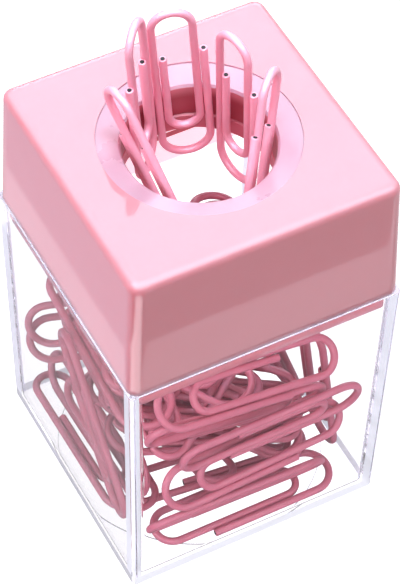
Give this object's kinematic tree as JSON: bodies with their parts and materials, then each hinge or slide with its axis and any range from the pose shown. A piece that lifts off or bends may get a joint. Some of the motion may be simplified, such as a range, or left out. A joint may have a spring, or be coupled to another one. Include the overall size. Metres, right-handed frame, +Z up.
{
  "type": "magnetic paper clip holder",
  "caption": "Square desk holder for paper clips: clear box with a loose pile, lift-off cap with a magnet round its throat that holds clips standing.",
  "frame": {"origin": "middle of the base, on the plane of its corner feet", "axes": "+Z up through the throat, +X and +Y along the box sides, the side facing -Y is the front"},
  "size_m": [0.0404, 0.0404, 0.0824],
  "materials": {
    "clear_plastic": "clear moulded polystyrene, polished",
    "cap_plastic": "glossy pink moulded plastic",
    "ring_plastic": "glossy pale pink moulded plastic",
    "retainer_plastic": "glossy pink moulded plastic",
    "ferrite": "dark sintered ferrite",
    "coated_wire": "steel wire in a smooth pink plastic coat"
  },
  "bodies": {
    "box": {"clear_box": "clear_plastic", "loose_clips_1": "coated_wire", "loose_clips_2": "coated_wire", "loose_clips_3": "coated_wire", "loose_clips_4": "coated_wire", "loose_clips_5": "coated_wire", "loose_clips_6": "coated_wire", "loose_clips_7": "coated_wire", "loose_clips_8": "coated_wire"},
    "cap": {"cap_shell": "cap_plastic", "throat_ring": "ring_plastic", "ring_magnet": "ferrite", "magnet_retainer": "retainer_plastic"},
    "standing_clip_left": {"standing_clip_left": "coated_wire"},
    "standing_clip_back_left": {"standing_clip_back_left": "coated_wire"},
    "standing_clip_back": {"standing_clip_back": "coated_wire"},
    "standing_clip_right": {"standing_clip_right": "coated_wire"},
    "standing_clip_front_right": {"standing_clip_front_right": "coated_wire"}
  },
  "joints": [
    {"name": "cap_lift", "type": "slide", "parent": "box", "child": "cap", "axis": [0, 0, 1], "range_m": [0, 0.045]},
    {"name": "standing_clip_left_pull", "type": "slide", "parent": "cap", "child": "standing_clip_left", "axis": [-0.212, 0.4727, 0.8554], "range_m": [0, 0.022]},
    {"name": "standing_clip_back_left_pull", "type": "slide", "parent": "cap", "child": "standing_clip_back_left", "axis": [-0.1038, -0.0451, 0.9936], "range_m": [0, 0.022]},
    {"name": "standing_clip_back_pull", "type": "slide", "parent": "cap", "child": "standing_clip_back", "axis": [-0.0988, -0.0235, 0.9948], "range_m": [0, 0.022]},
    {"name": "standing_clip_right_pull", "type": "slide", "parent": "cap", "child": "standing_clip_right", "axis": [-0.066, -0.0607, 0.996], "range_m": [0, 0.022]},
    {"name": "standing_clip_front_right_pull", "type": "slide", "parent": "cap", "child": "standing_clip_front_right", "axis": [0.2198, 0.2312, 0.9477], "range_m": [0, 0.022]}
  ]
}
